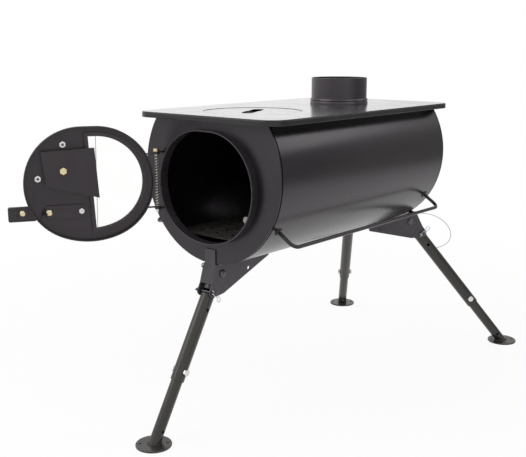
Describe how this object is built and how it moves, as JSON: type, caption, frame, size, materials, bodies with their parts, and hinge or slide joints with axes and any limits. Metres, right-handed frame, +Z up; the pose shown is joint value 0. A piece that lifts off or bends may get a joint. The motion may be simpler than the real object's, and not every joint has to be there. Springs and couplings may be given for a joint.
{
  "type": "tent wood stove",
  "caption": "Portable steel tent wood stove: round drum firebox, flat cooking top with lift-out plate and flue collar, hinged glass door, folding telescopic legs and side rails.",
  "frame": {"origin": "centre of the front foot disc's sole, on the floor", "axes": "+X to the right seen from the door, +Y from the door end towards the flue end along the drum, +Z up through the flue collar"},
  "size_m": [0.4761, 0.8885, 0.5422],
  "materials": {
    "black_steel": "satin",
    "shell_steel": "satin",
    "plate_steel": "semi-gloss",
    "grate_steel": "rough",
    "window_glass": "clear",
    "brass": "bright",
    "zinc_steel": "bright",
    "wire_steel": "drawn wire",
    "spring_steel": "dark",
    "grip_black": "matte"
  },
  "bodies": {
    "stove": {"body_shell": "shell_steel", "front_plate": "shell_steel", "rear_plate": "shell_steel", "door_rim": "black_steel", "cooking_plate": "plate_steel", "lid_seat": "black_steel", "flue_collar": "black_steel", "rail_right": "black_steel", "rail_left": "black_steel", "hinge_lugs": "black_steel", "hinge_bolt": "brass", "hinge_nut": "zinc_steel", "hinge_spring": "spring_steel", "door_catch": "black_steel", "fire_grate": "grate_steel", "bracket_front": "black_steel", "bracket_right": "black_steel", "bracket_left": "black_steel", "pivot_bolt_front": "black_steel", "pivot_bolt_right": "black_steel", "pivot_bolt_left": "black_steel", "lock_pin_front": "black_steel", "lock_pin_right": "black_steel", "lock_pin_left": "black_steel", "pin_clip_front": "wire_steel", "pin_clip_right": "wire_steel", "pin_clip_left": "wire_steel", "lanyard_front": "wire_steel", "lanyard_right": "wire_steel", "lanyard_left": "wire_steel"},
    "door": {"door_panel": "black_steel", "door_lugs": "black_steel", "window_glass": "window_glass", "window_frame": "black_steel", "air_baffle": "black_steel", "air_bolt": "brass", "edge_bolts": "zinc_steel", "latch_strip": "black_steel", "latch_bolt": "brass", "strip_bolt": "zinc_steel"},
    "air_wheel": {"air_wheel": "black_steel"},
    "latch_lever": {"latch_lever": "black_steel", "handle_grip": "grip_black", "handle_bolt": "brass"},
    "hot_plate": {"hot_plate": "plate_steel"},
    "leg_front": {"leg_tube_front": "black_steel", "clamp_screws_front": "zinc_steel"},
    "leg_right": {"leg_tube_right": "black_steel", "clamp_screws_right": "zinc_steel"},
    "leg_left": {"leg_tube_left": "black_steel", "clamp_screws_left": "zinc_steel"},
    "foot_front": {"inner_tube_front": "black_steel", "foot_disc_front": "black_steel"},
    "foot_right": {"inner_tube_right": "black_steel", "foot_disc_right": "black_steel"},
    "foot_left": {"inner_tube_left": "black_steel", "foot_disc_left": "black_steel"}
  },
  "joints": [
    {"name": "door_hinge", "type": "hinge", "parent": "stove", "child": "door", "pos_m": [-0.1075, 0.11965, 0.385], "axis": [0, 0, 1], "range_deg": [-40, 121.6]},
    {"name": "air_wheel_turn", "type": "hinge", "parent": "door", "child": "air_wheel", "pos_m": [-0.18542, -0.007, 0.40765], "axis": [-0.8517, 0.524, 0], "range_deg": [-40, 40]},
    {"name": "latch_turn", "type": "hinge", "parent": "door", "child": "latch_lever", "pos_m": [-0.19789, -0.02727, 0.34145], "axis": [-0.8517, 0.524, 0], "range_deg": [0, 45]},
    {"name": "hot_plate_lift", "type": "slide", "parent": "stove", "child": "hot_plate", "axis": [0, 0, 1], "range_m": [0, 0.06]},
    {"name": "fold_front", "type": "hinge", "parent": "stove", "child": "leg_front", "pos_m": [0, 0.14265, 0.2451], "axis": [1, 0, 0], "range_deg": [0, 117]},
    {"name": "fold_right", "type": "hinge", "parent": "stove", "child": "leg_right", "pos_m": [0.0691, 0.61625, 0.264], "axis": [-0.788, 0.6157, 0], "range_deg": [0, 117]},
    {"name": "fold_left", "type": "hinge", "parent": "stove", "child": "leg_left", "pos_m": [-0.0691, 0.61625, 0.264], "axis": [-0.788, -0.6157, 0], "range_deg": [0, 103]},
    {"name": "slide_front", "type": "slide", "parent": "leg_front", "child": "foot_front", "axis": [0, 0.503, 0.8643], "range_m": [0, 0.075]},
    {"name": "slide_right", "type": "slide", "parent": "leg_right", "child": "foot_right", "axis": [-0.3891, -0.498, 0.7749], "range_m": [0, 0.075]},
    {"name": "slide_left", "type": "slide", "parent": "leg_left", "child": "foot_left", "axis": [0.3891, -0.498, 0.7749], "range_m": [0, 0.075]}
  ]
}
